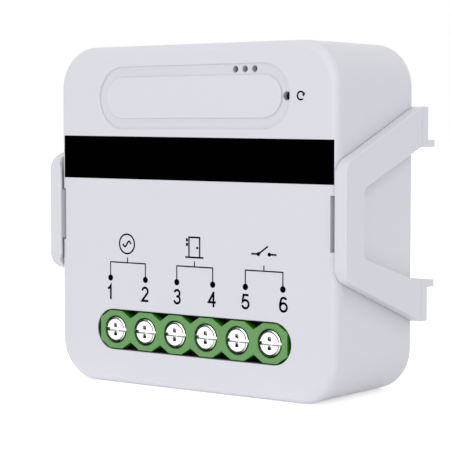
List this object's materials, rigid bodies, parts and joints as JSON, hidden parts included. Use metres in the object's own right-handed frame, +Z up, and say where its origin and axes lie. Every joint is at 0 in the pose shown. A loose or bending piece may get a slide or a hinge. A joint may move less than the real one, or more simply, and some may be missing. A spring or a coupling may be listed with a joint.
{
  "type": "garage door controller",
  "caption": "Square white wall-mounted switching module with a screw terminal, indicator and reset holes, and a clip bracket whose side arms latch into its edges.",
  "frame": {"origin": "under the middle of the whole part, level with the bottom of the case", "axes": "+Z up, -Y out of the front face towards the viewer, +X to the viewer's right, +Y towards the wall"},
  "size_m": [0.0486, 0.021, 0.0452],
  "materials": {
    "case_plastic": "fine matt moulded white plastic",
    "bracket_plastic": "fine matt moulded white plastic",
    "terminal_plastic": "satin green moulded plastic",
    "screw_steel": "bright zinc plate",
    "cage_steel": "plated steel",
    "contact_metal": "tinned copper alloy",
    "board_laminate": "green solder mask",
    "clear_plastic": "clear moulded plastic",
    "lamp_resin": "pale resin",
    "black_plastic": "matt black moulded plastic",
    "relay_plastic": "blue moulded plastic",
    "bobbin_plastic": "dark moulded plastic",
    "copper_wire": "enamelled copper wire",
    "soft_iron": "nickel-plated iron",
    "spring_bronze": "rolled bronze strip",
    "ferrite": "fired ferrite",
    "tinned_lead": "tinned wire",
    "capacitor_sleeve": "dark shrunk sleeve",
    "varistor_resin": "blue dipped resin",
    "fuse_glass": "clear glass",
    "shield_steel": "bright tinned steel",
    "chip_ceramic": "fired ceramic"
  },
  "bodies": {
    "case": {"bracket_plate": "bracket_plastic", "bridge_rectifier": "black_plastic", "chip_capacitors": "chip_ceramic", "chip_resistors": "chip_ceramic", "filter_inductor": "ferrite", "front_housing": "case_plastic", "fuse_caps": "tinned_lead", "fuse_tube": "fuse_glass", "input_capacitor": "capacitor_sleeve", "input_capacitor_leads": "tinned_lead", "light_guide": "clear_plastic", "main_board": "board_laminate", "optocoupler": "black_plastic", "output_capacitor": "capacitor_sleeve", "part_leads": "tinned_lead", "power_chip": "black_plastic", "radio_board": "board_laminate", "radio_chip": "black_plastic", "radio_shield": "shield_steel", "rear_cover": "case_plastic", "regulator": "black_plastic", "relay_base": "relay_plastic", "relay_bobbin": "bobbin_plastic", "relay_core": "soft_iron", "relay_cover": "relay_plastic", "relay_diode": "black_plastic", "relay_fixed_contacts": "spring_bronze", "relay_pins": "tinned_lead", "relay_winding": "copper_wire", "reset_switch_body": "black_plastic", "reset_switch_legs": "tinned_lead", "status_lamps": "lamp_resin", "terminal_block": "terminal_plastic", "terminal_contacts": "contact_metal", "transformer_bobbin": "bobbin_plastic", "transformer_core": "ferrite", "transformer_pins": "tinned_lead", "transformer_winding": "copper_wire", "varistor": "varistor_resin", "varistor_leads": "tinned_lead"},
    "arm_left": {"bracket_arm_left": "bracket_plastic"},
    "arm_right": {"bracket_arm_right": "bracket_plastic"},
    "plunger": {"reset_plunger": "lamp_resin"},
    "armature": {"relay_armature": "soft_iron", "relay_contact_spring": "spring_bronze"},
    "screw_1": {"terminal_screw_1": "screw_steel"},
    "cage_1": {"clamp_cage_1": "cage_steel"},
    "screw_2": {"terminal_screw_2": "screw_steel"},
    "cage_2": {"clamp_cage_2": "cage_steel"},
    "screw_3": {"terminal_screw_3": "screw_steel"},
    "cage_3": {"clamp_cage_3": "cage_steel"},
    "screw_4": {"terminal_screw_4": "screw_steel"},
    "cage_4": {"clamp_cage_4": "cage_steel"},
    "screw_5": {"terminal_screw_5": "screw_steel"},
    "cage_5": {"clamp_cage_5": "cage_steel"},
    "screw_6": {"terminal_screw_6": "screw_steel"},
    "cage_6": {"clamp_cage_6": "cage_steel"}
  },
  "joints": [
    {"name": "arm_right_flex", "type": "hinge", "parent": "case", "child": "arm_right", "pos_m": [0.0243, 0.00737, 0.0226], "axis": [0, 0, 1], "range_deg": [0, 4], "stiffness_Nm_per_rad": 0.2},
    {"name": "arm_left_flex", "type": "hinge", "parent": "case", "child": "arm_left", "pos_m": [-0.0243, 0.00737, 0.0226], "axis": [0, 0, -1], "range_deg": [0, 4], "stiffness_Nm_per_rad": 0.2},
    {"name": "reset_press", "type": "slide", "parent": "case", "child": "plunger", "axis": [0, 1, 0], "range_m": [0, 0.0003], "stiffness_N_per_m": 400},
    {"name": "armature_rock", "type": "hinge", "parent": "case", "child": "armature", "pos_m": [0.0113, 0.00003, 0.0244], "axis": [1, 0, 0], "range_deg": [0, 4], "stiffness_Nm_per_rad": 0.01},
    {"name": "screw_turn_1", "type": "hinge", "parent": "case", "child": "screw_1", "pos_m": [-0.0127, -0.01012, 0.0073], "axis": [0, 1, 0], "range_deg": [0, 1440]},
    {"name": "clamp_rise_1", "type": "slide", "parent": "case", "child": "cage_1", "axis": [0, -1, 0], "range_m": [0, 0.0018]},
    {"name": "screw_turn_2", "type": "hinge", "parent": "case", "child": "screw_2", "pos_m": [-0.00762, -0.01012, 0.0073], "axis": [0, 1, 0], "range_deg": [0, 1440]},
    {"name": "clamp_rise_2", "type": "slide", "parent": "case", "child": "cage_2", "axis": [0, -1, 0], "range_m": [0, 0.0018]},
    {"name": "screw_turn_3", "type": "hinge", "parent": "case", "child": "screw_3", "pos_m": [-0.00254, -0.01012, 0.0073], "axis": [0, 1, 0], "range_deg": [0, 1440]},
    {"name": "clamp_rise_3", "type": "slide", "parent": "case", "child": "cage_3", "axis": [0, -1, 0], "range_m": [0, 0.0018]},
    {"name": "screw_turn_4", "type": "hinge", "parent": "case", "child": "screw_4", "pos_m": [0.00254, -0.01012, 0.0073], "axis": [0, 1, 0], "range_deg": [0, 1440]},
    {"name": "clamp_rise_4", "type": "slide", "parent": "case", "child": "cage_4", "axis": [0, -1, 0], "range_m": [0, 0.0018]},
    {"name": "screw_turn_5", "type": "hinge", "parent": "case", "child": "screw_5", "pos_m": [0.00762, -0.01012, 0.0073], "axis": [0, 1, 0], "range_deg": [0, 1440]},
    {"name": "clamp_rise_5", "type": "slide", "parent": "case", "child": "cage_5", "axis": [0, -1, 0], "range_m": [0, 0.0018]},
    {"name": "screw_turn_6", "type": "hinge", "parent": "case", "child": "screw_6", "pos_m": [0.0127, -0.01012, 0.0073], "axis": [0, 1, 0], "range_deg": [0, 1440]},
    {"name": "clamp_rise_6", "type": "slide", "parent": "case", "child": "cage_6", "axis": [0, -1, 0], "range_m": [0, 0.0018]}
  ],
  "couplings": [
    {"joint": "screw_turn_1", "follows": "clamp_rise_1", "rad_per_m": 13963},
    {"joint": "screw_turn_2", "follows": "clamp_rise_2", "rad_per_m": 13963},
    {"joint": "screw_turn_3", "follows": "clamp_rise_3", "rad_per_m": 13963},
    {"joint": "screw_turn_4", "follows": "clamp_rise_4", "rad_per_m": 13963},
    {"joint": "screw_turn_5", "follows": "clamp_rise_5", "rad_per_m": 13963},
    {"joint": "screw_turn_6", "follows": "clamp_rise_6", "rad_per_m": 13963}
  ]
}
